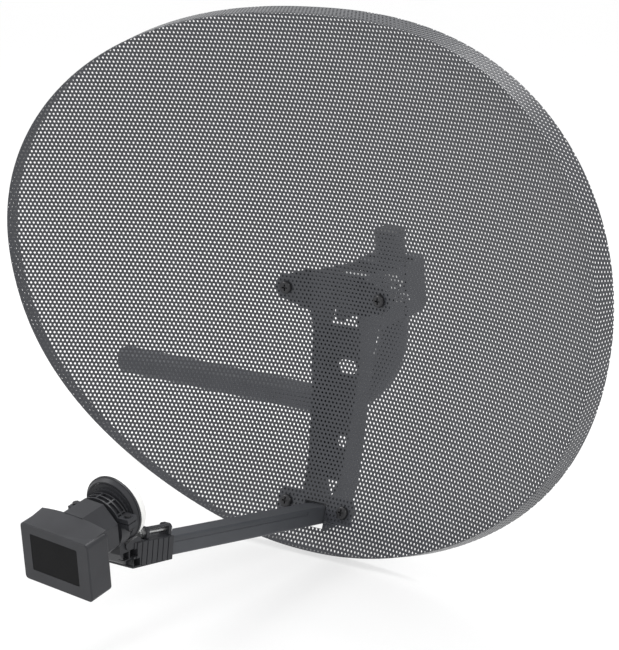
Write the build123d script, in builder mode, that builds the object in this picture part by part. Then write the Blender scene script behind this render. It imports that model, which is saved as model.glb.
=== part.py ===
from build123d import *
import os
from math import atan, cos, degrees, pi, radians, sin, tan

# Offset satellite dish on a bent mast tube. Millimetres, +Z up, the dish faces -Y.
# The origin is the centre of the mast tube's open end; the tube runs along +X.

os.makedirs("parts", exist_ok=True)

# ---- mast tube ----
tube_r = 14.75
tube_wall = 2.0
run_length = 375.0
bend_r = 103.3
mast_height = 190.9
mast_lean = 5.68
run_turn = 2.48

# ---- reflector: outline and depth; the tube's corner is placed from the bowl's lowest point ----
corner_y, corner_z = 112.0, -135.7
half_width = 325.0
half_height = 254.0
roundness = 2.12
lift = 0.112
shoulder = 0.032
depth_x = 94.0
depth_z = 49.3
depth_slope = -0.071
depth_flatten = -0.084
sheet = 0.8
rim_sheet = 1.0
flange_depth = 20.3
flange_flare = 4.7
rim_points = 64

# ---- reflector fixings ----
ear_x, ear_z = 54.0, 9.0
foot_x, foot_z = 33.0, -193.0
m6_r, m6_hole_r = 3.0, 3.3
m8_r = 4.0
plate_gap = 0.05
under_plate = sheet + 2 * plate_gap + 2.0
pan_r, pan_h = 6.2, 3.6

# ---- back bracket (pressed channel) ----
steel = 2.0
cheek_half = 28.0
cheek_foot_half = 13.5
taper_top, taper_bottom = -55.0, -196.0
taper_middle, taper_middle_half = -178.0, 18.7
bracket_top, bracket_bottom = 27.3, -214.0
bracket_top_back = 24.1
web_top, web_knee, web_bottom = -31.0, -52.0, -178.0
web_back_top, web_back_knee, web_back_bottom = 33.5, 25.5, 14.0

# ---- elevation pivot and slot, as (back, up) from the bowl's lowest point ----
pivot_y, pivot_z = 48.0, 16.0
cheek_round = 29.5
slot_r = 24.0
slot_angle = -45.0
slot_low, slot_high = -62.0, -21.0

# ---- mast clamp, counted from a point on the mast's axis, z along the mast ----
grip_y, grip_z = 98.0, 4.9
lug_half = 25.7
lug_sheet = 2.5
lug_front = -60.7
clamp_low, clamp_high = -29.3, 23.4
jaw_half = 28.0
web_y = -22.0
jaw_y = 18.3
jaw_front = -16.4
clamp_bolt_x, clamp_bolt_z = 18.0, 10.0
vee_gap = 0.1

# ---- LNB arm ----
arm_w, arm_h, arm_wall = 22.0, 17.0, 1.2
arm_tilt = 8.25
arm_root_y, arm_root_z = -30.0, -199.8
arm_back, arm_front = -38.0, 268.8
arm_bolt_places = (-12.0, -30.0)

# ---- LNB and its holder ----
neck_tilt = 11.0
skew = 5.6
collar_y, collar_z = -314.6, -118.7
neck_r = 20.0
neck_drop = 6.0
octagon_r = 23.8
collar_r = 28.9
body_w, body_h, body_d = 73.0, 53.6, 25.6
body_back = -75.4
body_drop = 13.9
strap_back, strap_front = -20.5, -9.5
strap_r, strap_rib_r = 22.0, 24.4
strap_split = 6.0
lug_x = 28.5
grip_w, grip_h = 32.0, 22.0
grip_back, grip_front = 232.0, 283.0
lock_x, lock_height = 8.0, grip_h / 2 + 5.0
lock_lugs = (234.6, 263.4)
lock_lug_t = 3.4


# The mast leans towards the dish, and its horizontal run turns a little to the front.
up_mast = Vector(0, -sin(radians(mast_lean)), cos(radians(mast_lean)))
back_mast = Vector(0, cos(radians(mast_lean)), sin(radians(mast_lean)))
run = Vector(1, 0, 0) * cos(radians(run_turn)) - back_mast * sin(radians(run_turn))
corner = run * run_length
tube_plane = Plane(origin=(0, 0, 0), x_dir=run, z_dir=run.cross(up_mast))
dish_x = corner.X
dish_y = corner.Y - corner_y
dish_z = corner.Z - corner_z


def place(x, y, z):
    """A point given from the bowl's lowest point."""
    return (dish_x + x, dish_y + y, dish_z + z)


def facing(y=0.0, x=0.0, z=0.0):
    """Upright plane looking out of the dish: sketch x right, y up, extrusion towards -Y."""
    return Plane(origin=place(x, y, z), x_dir=(1, 0, 0), z_dir=(0, -1, 0))


def side(x=0.0):
    """Upright plane seen from +X: sketch x towards the back, y up, extrusion towards +X."""
    return Plane(origin=place(x, 0, 0), x_dir=(0, 1, 0), z_dir=(1, 0, 0))


def level(z):
    """Level plane: sketch x right, y towards the back, extrusion upwards."""
    return Plane(origin=place(0, 0, z), x_dir=(1, 0, 0), z_dir=(0, 0, 1))


def bowl_y(x, z):
    """Depth of the reflector's front skin."""
    a = (x / half_width) ** 2
    b = (z / half_height) ** 2
    uneven = 1 + depth_slope * z / half_height + depth_flatten * (a + b - 1)
    return -(depth_x * a + depth_z * b) * uneven


def outline(t):
    """Rim outline seen from the front, an egg-shaped wide oval."""
    c, s = cos(t), sin(t)
    r = (abs(c / half_width) ** roundness + abs(s / half_height) ** roundness) ** (-1 / roundness)
    r *= 1 + lift * s + shoulder * sin(3 * t)
    return r * c, r * s


def rim_point(t, out, back):
    """A point moved outwards from the rim, and back from the front skin's edge."""
    x, z = outline(t)
    x1, z1 = outline(t - 0.001)
    x2, z2 = outline(t + 0.001)
    span = ((x2 - x1) ** 2 + (z2 - z1) ** 2) ** 0.5
    grow_x = out * (z2 - z1) / span
    grow_z = -out * (x2 - x1) / span
    return Vector(*place(x + grow_x, bowl_y(x, z) + back, z + grow_z))


def rim_curve(out, back):
    turns = [2 * pi * i / rim_points for i in range(rim_points)]
    return Edge.make_spline([rim_point(t, out, back) for t in turns], periodic=True)


def skin_tilt(x, z):
    """Unit normal of the front skin, pointing out of the dish."""
    step = 0.5
    slope_x = (bowl_y(x + step, z) - bowl_y(x - step, z)) / (2 * step)
    slope_z = (bowl_y(x, z + step) - bowl_y(x, z - step)) / (2 * step)
    return Vector(slope_x, -1, slope_z).normalized()


def fixing_plane(x, z, back=0.0):
    """Plane on the reflector at a screw, facing out of the dish."""
    normal = skin_tilt(x, z)
    origin = Vector(*place(x, bowl_y(x, z), z)) - normal * back
    return Plane(origin=origin, x_dir=(1, 0, 0), z_dir=normal)


fixings = [(ear_x, ear_z), (-ear_x, ear_z), (foot_x, foot_z), (-foot_x, foot_z)]

# The arm's own frame: z along the arm towards the LNB, y up, x right.
arm_axis = Vector(0, -cos(radians(arm_tilt)), sin(radians(arm_tilt)))
arm = Plane(origin=place(0, arm_root_y, arm_root_z), x_dir=(1, 0, 0), z_dir=arm_axis)

# The neck's frame: z along the neck towards the dish, y up. The LNB's own frame is turned by skew.
neck_axis = Vector(0, cos(radians(neck_tilt)), sin(radians(neck_tilt)))
neck_up = Vector(0, -sin(radians(neck_tilt)), cos(radians(neck_tilt)))
lnb_right = Vector(1, 0, 0) * cos(radians(skew)) - neck_up * sin(radians(skew))
lnb = Plane(origin=place(0, collar_y, collar_z), x_dir=-lnb_right, z_dir=neck_axis)
neck_spot = lnb.from_local_coords((0, -neck_drop, 0))
neck = Plane(origin=neck_spot, x_dir=(-1, 0, 0), z_dir=neck_axis)

# The clamp's frame: z up along the mast's axis, y to the back.
clamp = Plane(origin=place(0, grip_y, grip_z), x_dir=(1, 0, 0), z_dir=up_mast)


def across(frame, x, y, z):
    """Plane at a point of a frame, extruding along that frame's own x."""
    return Plane(origin=frame.from_local_coords((x, y, z)), x_dir=frame.y_dir, z_dir=frame.x_dir)


def below(frame, x, y, z):
    """Plane at a point of a frame, extruding down along that frame's own y."""
    return Plane(origin=frame.from_local_coords((x, y, z)), x_dir=frame.x_dir, z_dir=-frame.y_dir)


def make_mast_tube():
    with BuildPart() as piece:
        with BuildLine(tube_plane):
            straight = Line((0, 0), (run_length - bend_r, 0))
            bend = JernArc(start=(run_length - bend_r, 0), tangent=(1, 0), radius=bend_r, arc_size=90)
            Line((run_length, bend_r), (run_length, mast_height))
        with BuildSketch(Plane(origin=(0, 0, 0), z_dir=run)):
            Circle(tube_r)
            Circle(tube_r - tube_wall, mode=Mode.SUBTRACT)
        sweep()
    return piece


def make_mast_cap():
    """End cap, drawn on the mast's axis and then moved onto the tube's top."""
    with BuildPart() as drawn:
        with BuildSketch():
            Circle(tube_r + 0.6)
        extrude(amount=3)
        fillet(drawn.edges().group_by(Axis.Z)[-1], 1.6)
        with BuildSketch():
            Circle(tube_r - tube_wall - 0.1)
        extrude(amount=-12)
        with BuildSketch(Plane.XY.offset(-12)):
            Circle(tube_r - tube_wall - 2)
        extrude(amount=10, mode=Mode.SUBTRACT)
    top = corner + up_mast * mast_height
    with BuildPart() as piece:
        add(drawn.part.moved(Plane(origin=top, x_dir=(1, 0, 0), z_dir=up_mast).location))
    return piece


def make_reflector():
    reach_x, reach_z = half_width + 20, half_height + 36
    columns, rows = 17, 15
    xs = [-reach_x + 2 * reach_x * i / (columns - 1) for i in range(columns)]
    zs = [-reach_z + 2 * reach_z * i / (rows - 1) for i in range(rows)]
    grid = [[Vector(*place(x, bowl_y(x, z), z)) for z in zs] for x in xs]
    skin = Face.make_surface_from_array_of_points(grid, min_deg=3, max_deg=3)
    bowl = Solid.extrude(skin, Vector(0, sheet, 0))
    # The flange turns back from the rim and flares; its front edge stands 0.4 proud as a bead.
    bead = -0.4
    outer_front, outer_back = rim_curve(0, bead), rim_curve(flange_flare, flange_depth)
    inner_back = rim_curve(flange_flare - rim_sheet, flange_depth)
    inner_front = rim_curve(-rim_sheet, bead)
    loop = [outer_front, outer_back, inner_back, inner_front]
    walls = [Face.make_surface_from_curves(loop[i], loop[(i + 1) % 4]) for i in range(4)]
    flange = Solid(Shell(walls))
    with BuildPart() as piece:
        add(bowl)
        with BuildSketch(facing(60)):
            with BuildLine():
                turns = [2 * pi * i / rim_points for i in range(rim_points)]
                edge = [rim_point(t, -0.6 * rim_sheet, 0) for t in turns]
                Spline([(p.X - dish_x, p.Z - dish_z) for p in edge], periodic=True)
            make_face()
        extrude(amount=220, mode=Mode.INTERSECT)
        add(flange)
        # opening for the arm
        with BuildSketch(facing(20)):
            with Locations((0, -200)):
                RectangleRounded(25.2, 22.6, 2)
        extrude(amount=100, mode=Mode.SUBTRACT)
        for x, z in fixings:
            with BuildSketch(fixing_plane(x, z, 6)):
                Circle(m6_hole_r)
            extrude(amount=12, mode=Mode.SUBTRACT)
    return piece


def make_reflector_screws():
    length = 16.0
    with BuildPart() as piece:
        for x, z in fixings:
            seat = fixing_plane(x, z).offset(0.08)
            with BuildSketch(seat):
                Circle(pan_r)
            extrude(amount=pan_h)
            rim = piece.faces().sort_by_distance(seat.from_local_coords((0, 0, pan_h)))[0].edges()
            fillet(rim, 2.2)
            with BuildSketch(seat):
                Circle(m6_r)
            extrude(amount=-length)
            with BuildSketch(seat.offset(pan_h)):
                Rectangle(6.4, 1.5)
                Rectangle(1.5, 6.4)
                Circle(1.4)
            extrude(amount=-2.2, mode=Mode.SUBTRACT)
    return piece


def make_reflector_washers():
    with BuildPart() as piece:
        for x, z in fixings:
            with BuildSketch(fixing_plane(x, z, under_plate)):
                Circle(6.0)
                Circle(m6_r + 0.1, mode=Mode.SUBTRACT)
            extrude(amount=-1.2)
    return piece


def make_reflector_nuts():
    with BuildPart() as piece:
        for x, z in fixings:
            with BuildSketch(fixing_plane(x, z, under_plate + 1.2)):
                RegularPolygon(5.0, 6, major_radius=False)
                Circle(m6_r, mode=Mode.SUBTRACT)
            extrude(amount=-5)
    return piece


def cheek_front(z, gap=1.0):
    """Front edge of the channel, a gap behind the reflector."""
    return bowl_y(cheek_half, z) + sheet + gap


def make_channel_void():
    """The inside of the channel: everything in front of its web and between its cheeks."""
    with BuildPart() as piece:
        with BuildSketch(side(-40)):
            with BuildLine():
                Polyline(
                    (-90, 60),
                    (100, 60),
                    (100, web_top),
                    (web_back_top - steel, web_top),
                    (web_back_knee - steel, web_knee),
                    (web_back_bottom - steel, web_bottom),
                    (60, web_bottom),
                    (60, bracket_bottom - 10),
                    (-90, bracket_bottom - 10),
                    close=True,
                )
            make_face()
        extrude(amount=80)
        with BuildSketch(facing(120)):
            with BuildLine():
                Polyline(*taper_points(steel, 10), close=True)
            make_face()
        extrude(amount=240, mode=Mode.INTERSECT)
    return piece


def taper_points(inset, over):
    """Front outline of the channel: full width above, tapering to the arm below."""
    wide, slim = cheek_half - inset, cheek_foot_half - inset
    right = [(wide, bracket_top + over), (wide, taper_top), (taper_middle_half - inset, taper_middle)]
    right += [(slim, taper_bottom), (slim, bracket_bottom - over)]
    return right + [(-x, z) for x, z in reversed(right)]


def make_back_bracket():
    shoulder_y = pivot_y + (cheek_round**2 - (bracket_top_back - pivot_z) ** 2) ** 0.5
    low_angle = radians(-105)
    low_point = (pivot_y + cheek_round * cos(low_angle), pivot_z + cheek_round * sin(low_angle))
    void = make_channel_void()
    slot = make_arc_slot(slot_low, slot_high, m6_r + 0.25)
    ears = make_ears()
    feet = make_feet()
    with BuildPart() as piece:
        with BuildSketch(side(-40)):
            with BuildLine():
                edge = [(cheek_front(z), z) for z in (bracket_top, 8, -12)]
                edge += [(cheek_front(z, 5.5), z) for z in (-30, -60, -90, -120, -145, -166)]
                edge += [(cheek_front(z), z) for z in (-180, -197, bracket_bottom)]
                front = Polyline(*edge)
                foot = Polyline(
                    front @ 1,
                    (10, bracket_bottom),
                    (11, -195),
                    (web_back_bottom, web_bottom),
                    (web_back_knee, web_knee),
                    (web_back_top, web_top),
                    low_point,
                )
                ThreePointArc(foot @ 1, (pivot_y + cheek_round, pivot_z), (shoulder_y, bracket_top_back))
                Line((shoulder_y, bracket_top_back), front @ 0)
            make_face()
        extrude(amount=80)
        with BuildSketch(facing(120)):
            with BuildLine():
                Polyline(*taper_points(0, 0), close=True)
            make_face()
        extrude(amount=240, mode=Mode.INTERSECT)
        add(void.part, mode=Mode.SUBTRACT)
        add(ears.part)
        add(feet.part)
        # holes in the web
        with BuildSketch(facing(60)):
            with Locations((0, -67)):
                SlotOverall(22, 13.5)
            with Locations((0, -140.5)):
                Circle(7)
        extrude(amount=56, mode=Mode.SUBTRACT)
        # elevation pivot and arc slot through both cheeks
        with BuildSketch(side(-40)):
            with Locations((pivot_y, pivot_z)):
                Circle(m8_r + 0.06)
        extrude(amount=80, mode=Mode.SUBTRACT)
        extrude(slot, amount=80, mode=Mode.SUBTRACT)
        # screws of the reflector and bolts of the arm
        for x, z in fixings:
            with BuildSketch(fixing_plane(x, z, 8)):
                Circle(m6_hole_r)
            extrude(amount=12, mode=Mode.SUBTRACT)
        for along in arm_bolt_places:
            with BuildSketch(across(arm, -20, 0, along)):
                Circle(m6_hole_r)
            extrude(amount=40, mode=Mode.SUBTRACT)
    return piece


def around_pivot(radius, angle):
    """Point of a side plane at a radius and angle about the elevation pivot."""
    return (pivot_y + radius * cos(radians(angle)), pivot_z + radius * sin(radians(angle)))


def make_arc_slot(low, high, half):
    """Rounded arc slot about the pivot, drawn left of the cheeks."""
    middle = (low + high) / 2
    outer, inner = slot_r + half, slot_r - half
    end = degrees(half / slot_r)
    with BuildSketch(side(-40)) as slot:
        with BuildLine():
            ThreePointArc(around_pivot(outer, low), around_pivot(outer, middle), around_pivot(outer, high))
            ThreePointArc(around_pivot(outer, high), around_pivot(slot_r, high + end), around_pivot(inner, high))
            ThreePointArc(around_pivot(inner, high), around_pivot(inner, middle), around_pivot(inner, low))
            ThreePointArc(around_pivot(inner, low), around_pivot(slot_r, low - end), around_pivot(outer, low))
        make_face()
    return slot.sketch


def make_ears():
    """Ears that carry the two upper screws, lying along the reflector's back."""
    run = ear_x - cheek_half + 1.5
    with BuildPart() as ears:
        for hand in (1, -1):
            with BuildSketch(fixing_plane(hand * ear_x, ear_z, sheet + plate_gap)):
                with BuildLine():
                    Polyline((0, 12.5), (-hand * run, 21), (-hand * run, -21), (0, -12.5))
                    ThreePointArc((0, -12.5), (hand * 12.5, 0), (0, 12.5))
                make_face()
            extrude(amount=-steel)
    return ears


def make_feet():
    """Feet that carry the two lower screws, lying along the reflector's back."""
    with BuildPart() as feet:
        for hand in (1, -1):
            with BuildSketch(fixing_plane(hand * foot_x, foot_z, sheet + plate_gap)):
                with Locations((-hand * 5.5, 0)):
                    RectangleRounded(31, 25, 5)
            extrude(amount=-steel)
    return feet


def vee_points(towards, half, back_y):
    """Plate with a 120 degree vee that grips the mast from one side, drawn about its axis."""
    apex = towards * (tube_r + vee_gap) / sin(radians(60))
    mouth = 16.5
    mouth_y = apex - towards * mouth * tan(radians(30))
    lip_y = mouth_y - towards * 0.8
    return [
        (-half, back_y),
        (half, back_y),
        (half, lip_y),
        (mouth, mouth_y),
        (0, apex),
        (-mouth, mouth_y),
        (-half, lip_y),
    ]


def clamp_level(z):
    """Plane across the mast, drawn before the clamp is moved into place."""
    return Plane.XY.offset(z)


def clamp_facing(y, frame=Plane.XY):
    """Plane along the mast at a distance behind its axis, extruding to the front."""
    return Plane(origin=frame.from_local_coords((0, y, 0)), x_dir=frame.x_dir, z_dir=-frame.y_dir)


def make_clamp_bracket():
    height = clamp_high - clamp_low
    with BuildPart() as drawn:
        with BuildSketch(clamp_level(clamp_low)):
            with BuildLine():
                Polyline(
                    (-lug_half, lug_front), (-lug_half, web_y + lug_sheet),
                    (lug_half, web_y + lug_sheet), (lug_half, lug_front),
                    (lug_half - lug_sheet, lug_front), (lug_half - lug_sheet, web_y),
                    (-lug_half + lug_sheet, web_y), (-lug_half + lug_sheet, lug_front),
                    close=True,
                )
            make_face()
        extrude(amount=height)
        # round the front corners of the lugs
        nose = drawn.edges().filter_by(Axis.X).group_by(Axis.Y)[0]
        fillet(nose, 8)
        for low in (clamp_low, clamp_high - lug_sheet):
            with BuildSketch(clamp_level(low)):
                with BuildLine():
                    Polyline(*vee_points(-1, 24.9, web_y + 0.5), close=True)
                make_face()
            extrude(amount=lug_sheet)
        with BuildSketch(clamp_facing(web_y + 10)):
            with Locations((clamp_bolt_x, clamp_bolt_z), (-clamp_bolt_x, clamp_bolt_z)):
                Circle(m6_r + 0.2)
        extrude(amount=14, mode=Mode.SUBTRACT)
    with BuildPart() as piece:
        add(drawn.part.moved(clamp.location))
        with BuildSketch(side(-40)):
            with Locations((pivot_y, pivot_z)):
                Circle(m8_r + 0.05)
            with Locations(slot_point()):
                Circle(m6_r + 0.05)
        extrude(amount=80, mode=Mode.SUBTRACT)
    return piece


def slot_point():
    """Place of the elevation locking bolt on the clamp bracket's lugs."""
    turn = radians(slot_angle)
    return (pivot_y + slot_r * cos(turn), pivot_z + slot_r * sin(turn))


def make_clamp_jaw():
    height = clamp_high - clamp_low
    with BuildPart() as drawn:
        with BuildSketch(clamp_level(clamp_low)):
            with BuildLine():
                Polyline(
                    (-jaw_half, jaw_front), (-jaw_half, jaw_y), (jaw_half, jaw_y), (jaw_half, jaw_front),
                    (jaw_half - lug_sheet, jaw_front), (jaw_half - lug_sheet, jaw_y - lug_sheet),
                    (-jaw_half + lug_sheet, jaw_y - lug_sheet), (-jaw_half + lug_sheet, jaw_front),
                    close=True,
                )
            make_face()
        extrude(amount=height)
        fillet(drawn.edges().filter_by(Axis.Z).group_by(Axis.Y)[-1], 2.4)
        for low in (clamp_low, clamp_high - lug_sheet):
            with BuildSketch(clamp_level(low)):
                with BuildLine():
                    Polyline(*vee_points(1, jaw_half - 1, jaw_y - 1), close=True)
                make_face()
            extrude(amount=lug_sheet)
        # slope off the lower back corner
        with BuildSketch(Plane(origin=(-40, 0, 0), x_dir=(0, 1, 0), z_dir=(1, 0, 0))):
            with BuildLine():
                Polyline((jaw_y + 1, -24.0), (8.7, clamp_low - 0.6), (jaw_y + 1, clamp_low - 0.6), close=True)
            make_face()
        extrude(amount=80, mode=Mode.SUBTRACT)
        with BuildSketch(clamp_facing(jaw_y + 5)):
            with Locations((clamp_bolt_x, clamp_bolt_z), (-clamp_bolt_x, clamp_bolt_z)):
                Circle(m6_r + 0.2)
        extrude(amount=12, mode=Mode.SUBTRACT)
    with BuildPart() as piece:
        add(drawn.part.moved(clamp.location))
    return piece


bolt_spots = [(clamp_bolt_x, clamp_bolt_z), (-clamp_bolt_x, clamp_bolt_z)]


def make_clamp_bolts():
    """Two bolts that pull jaw and bracket together, heads at the back."""
    with BuildPart() as drawn:
        with BuildSketch(clamp_facing(jaw_y)):
            with Locations(*bolt_spots):
                Circle(m6_r)
        extrude(amount=jaw_y - web_y + 11)
        with BuildSketch(clamp_facing(jaw_y)):
            with Locations(*bolt_spots):
                Circle(7.5)
        extrude(amount=-3.4)
        fillet(drawn.edges().filter_by(GeomType.CIRCLE).group_by(Axis.Y)[-1], 2.6)
    with BuildPart() as piece:
        add(drawn.part.moved(clamp.location))
    return piece


def make_clamp_washers():
    with BuildPart() as piece:
        with BuildSketch(clamp_facing(web_y, clamp)):
            with Locations(*bolt_spots):
                Circle(5.1)
                Circle(m6_r + 0.1, mode=Mode.SUBTRACT)
        extrude(amount=1.2)
    return piece


def make_clamp_nuts():
    with BuildPart() as piece:
        with BuildSketch(clamp_facing(web_y - 1.2, clamp)):
            with Locations(*bolt_spots):
                RegularPolygon(5.0, 6, major_radius=False, rotation=30)
                Circle(m6_r, mode=Mode.SUBTRACT)
        extrude(amount=5)
    return piece


def make_cross_bolt(point, radius, flats, head, grip):
    """Hex bolt across the cheeks, head at -X, threaded end at +X."""
    with BuildPart() as piece:
        with BuildSketch(side(-grip)):
            with Locations(point):
                Circle(radius)
        extrude(amount=2 * grip + flats + 2)
        with BuildSketch(side(-grip)):
            with Locations(point):
                RegularPolygon(flats / 2, 6, major_radius=False)
        extrude(amount=-head)
    return piece


def make_cross_nut(point, radius, flats, height, grip):
    with BuildPart() as piece:
        with BuildSketch(side(grip)):
            with Locations(point):
                RegularPolygon(flats / 2, 6, major_radius=False)
                Circle(radius, mode=Mode.SUBTRACT)
        extrude(amount=height)
    return piece


def make_cross_washers(point, radius, outer, inner_x, thick):
    with BuildPart() as piece:
        for x in (inner_x, -inner_x - thick):
            with BuildSketch(side(x)):
                with Locations(point):
                    Circle(outer)
                    Circle(radius + 0.1, mode=Mode.SUBTRACT)
            extrude(amount=thick)
    return piece


def make_lnb_arm():
    with BuildPart() as piece:
        with BuildSketch(arm.offset(arm_back)):
            RectangleRounded(arm_w, arm_h, 2.2)
            RectangleRounded(arm_w - 2 * arm_wall, arm_h - 2 * arm_wall, 1.0, mode=Mode.SUBTRACT)
        extrude(amount=arm_front - arm_back)
        # pressed groove along each side, drawn in the arm's side plane
        groove_start, groove_end, groove_y = 28.0, 226.0, 4.5
        for x in (arm_w / 2, -arm_w / 2):
            plane = across(arm, x - 0.5, groove_y, (groove_start + groove_end) / 2)
            with BuildSketch(plane):
                SlotOverall(groove_end - groove_start, 3.0, rotation=90)
            extrude(amount=1.0, mode=Mode.SUBTRACT)
        # drain hole underneath
        with BuildSketch(below(arm, 0, 0, 137)):
            Circle(2.2)
        extrude(amount=arm_h, mode=Mode.SUBTRACT)
        for along in arm_bolt_places:
            with BuildSketch(across(arm, -20, 0, along)):
                Circle(m6_r + 0.1)
            extrude(amount=40, mode=Mode.SUBTRACT)
    return piece


def make_arm_bolts():
    with BuildPart() as piece:
        for along in arm_bolt_places:
            with BuildSketch(across(arm, -cheek_foot_half, 0, along)):
                Circle(m6_r)
            extrude(amount=2 * cheek_foot_half + 7)
            with BuildSketch(across(arm, -cheek_foot_half, 0, along)):
                Circle(5.8)
            extrude(amount=-3.2)
    return piece


def make_arm_nuts():
    with BuildPart() as piece:
        for along in arm_bolt_places:
            with BuildSketch(across(arm, cheek_foot_half, 0, along)):
                RegularPolygon(5.0, 6, major_radius=False)
                Circle(m6_r, mode=Mode.SUBTRACT)
            extrude(amount=5)
    return piece


def make_holder_base():
    """Grip that closes over the arm's end, with the lower half of the neck clamp."""
    width = strap_front - strap_back
    with BuildPart() as piece:
        with BuildSketch(across(arm, -grip_w / 2, 0, 0)):
            with BuildLine():
                Polyline(
                    (grip_h / 2, grip_back), (grip_h / 2, grip_front),
                    (-grip_h / 2, grip_front), (-grip_h / 2 + 1.3, grip_back), close=True,
                )
            make_face()
        extrude(amount=grip_w)
        # web that rises from the grip to the neck clamp
        with BuildSketch(side(-14)):
            with BuildLine():
                Polyline(
                    (-324, -130), (-326, -145), (-325, -155), (-319, -164), (-311, -169), (-302, -171.5),
                    (-296, -171.5), (-296, -149), (-309, -142), (-311, -130), close=True,
                )
            make_face()
        extrude(amount=28)
        # rounded pads at the end of the grip, above the pockets
        with BuildSketch(side(-15.4)):
            with Locations((-309.5, -148.5)):
                SlotOverall(19, 9)
        extrude(amount=30.8)
        # lower half of the clamp ring, with its two lugs
        with BuildSketch(neck.offset(strap_back)):
            Circle(strap_rib_r)
            with Locations((0, strap_split - 0.4 + 2 * strap_rib_r)):
                Rectangle(4 * strap_rib_r, 4 * strap_rib_r, mode=Mode.SUBTRACT)
        extrude(amount=width)
        with BuildSketch(neck.offset(strap_back)):
            with Locations((lug_x - 2.5, strap_split - 2.4), (-lug_x + 2.5, strap_split - 2.4)):
                Rectangle(14, 4.0)
        extrude(amount=width)
        # room for the neck, for its eight-sided root and for the collar
        with BuildSketch(neck.offset(strap_back - 20)):
            Circle(neck_r + 0.3)
        extrude(amount=60, mode=Mode.SUBTRACT)
        with BuildSketch(neck.offset(strap_back - 1.5)):
            Circle(octagon_r + 2.4)
        extrude(amount=-30, mode=Mode.SUBTRACT)
        with BuildSketch(neck.offset(strap_front)):
            with Locations((0, neck_drop - 0.3)):
                Circle(collar_r + 2.0)
        extrude(amount=20, mode=Mode.SUBTRACT)
        # pocket for the arm
        with BuildSketch(arm.offset(grip_back)):
            RectangleRounded(arm_w + 0.2, arm_h + 0.2, 2.2)
        extrude(amount=arm_front - grip_back + 0.5, mode=Mode.SUBTRACT)
        # finger ribs on both sides of the grip
        for i in range(7):
            along = grip_back + 4.2 + i * 6.8
            for x in (grip_w / 2, -grip_w / 2 - 0.7):
                with BuildSketch(across(arm, x, 0.6, along)):
                    Rectangle(grip_h - 1.8, 5.6)
                extrude(amount=0.7)
        # four weight-saving pockets in both sides of the web
        for x0, x1 in ((9.0, 17.0), (-17.0, -9.0)):
            for y, z in ((-318.0, -157.8), (-309.6, -157.2), (-314.6, -165.0), (-307.0, -165.6)):
                with BuildSketch(side(x0)):
                    with Locations((y, z)):
                        Rectangle(7.0, 6.6)
                extrude(amount=x1 - x0, mode=Mode.SUBTRACT)
        # two lugs of the arm's locking screw on top of the grip, with a rail between them
        for along in lock_lugs:
            with BuildSketch(arm.offset(along - lock_lug_t / 2)):
                with Locations((lock_x, lock_height - 0.6)):
                    RectangleRounded(11, 11.4, 3)
            extrude(amount=lock_lug_t)
        with BuildSketch(arm.offset(lock_lugs[0])):
            with Locations((lock_x + 3.4, lock_height + 4.2)):
                Rectangle(3.2, 1.8)
        extrude(amount=lock_lugs[1] - lock_lugs[0])
        with BuildSketch(arm.offset(lock_lugs[0] - 4)):
            with Locations((lock_x, lock_height)):
                Circle(2.6)
        extrude(amount=lock_lugs[1] - lock_lugs[0] + 8, mode=Mode.SUBTRACT)
        # screws of the strap
        with BuildSketch(below(neck, 0, strap_split + 2, (strap_back + strap_front) / 2)):
            with Locations((lug_x, 0), (-lug_x, 0)):
                Circle(1.7)
        extrude(amount=8, mode=Mode.SUBTRACT)
    return piece


def make_holder_strap():
    """Upper half of the neck clamp: a thin band with a grid of ribs, and two lugs."""
    width = strap_front - strap_back
    with BuildPart() as piece:
        with BuildSketch(neck.offset(strap_back)):
            Circle(strap_r)
        extrude(amount=width)
        for z in (strap_back, (strap_back + strap_front) / 2 - 0.6, strap_front - 1.2):
            with BuildSketch(neck.offset(z)):
                Circle(strap_rib_r)
            extrude(amount=1.2)
        for i in range(7):
            turn = radians(i * 30)
            with BuildSketch(neck.offset(strap_back)):
                with Locations(Location((22.6 * cos(turn), 22.6 * sin(turn), 0), degrees(turn))):
                    Rectangle(3.6, 1.2)
            extrude(amount=width)
        with BuildSketch(neck.offset(strap_back)):
            with Locations((lug_x - 2.5, strap_split + 2.4), (-lug_x + 2.5, strap_split + 2.4)):
                Rectangle(14, 4.0)
        extrude(amount=width)
        with BuildSketch(neck.offset(strap_back - 1)):
            Circle(neck_r + 0.3)
            with Locations((0, strap_split + 0.4 - 2 * strap_rib_r)):
                Rectangle(4 * strap_rib_r, 4 * strap_rib_r)
        extrude(amount=width + 2, mode=Mode.SUBTRACT)
        with BuildSketch(below(neck, 0, strap_split + 10, (strap_back + strap_front) / 2)):
            with Locations((lug_x, 0), (-lug_x, 0)):
                Circle(1.7)
        extrude(amount=12, mode=Mode.SUBTRACT)
    return piece


def make_strap_screws():
    mid = (strap_back + strap_front) / 2
    with BuildPart() as piece:
        for x in (lug_x, -lug_x):
            with BuildSketch(below(neck, x, strap_split + 4.4, mid)):
                Circle(1.6)
            extrude(amount=13)
            with BuildSketch(below(neck, x, strap_split + 4.4, mid)):
                Circle(2.9)
            extrude(amount=-2.0)
    return piece


def make_strap_nuts():
    mid = (strap_back + strap_front) / 2
    with BuildPart() as piece:
        for x in (lug_x, -lug_x):
            with BuildSketch(below(neck, x, strap_split - 4.4, mid)):
                RegularPolygon(2.9, 6, major_radius=False)
                Circle(1.6, mode=Mode.SUBTRACT)
            extrude(amount=2.6)
    return piece


lock_start = lock_lugs[0] - lock_lug_t / 2
lock_end = lock_lugs[1] + lock_lug_t / 2


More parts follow.
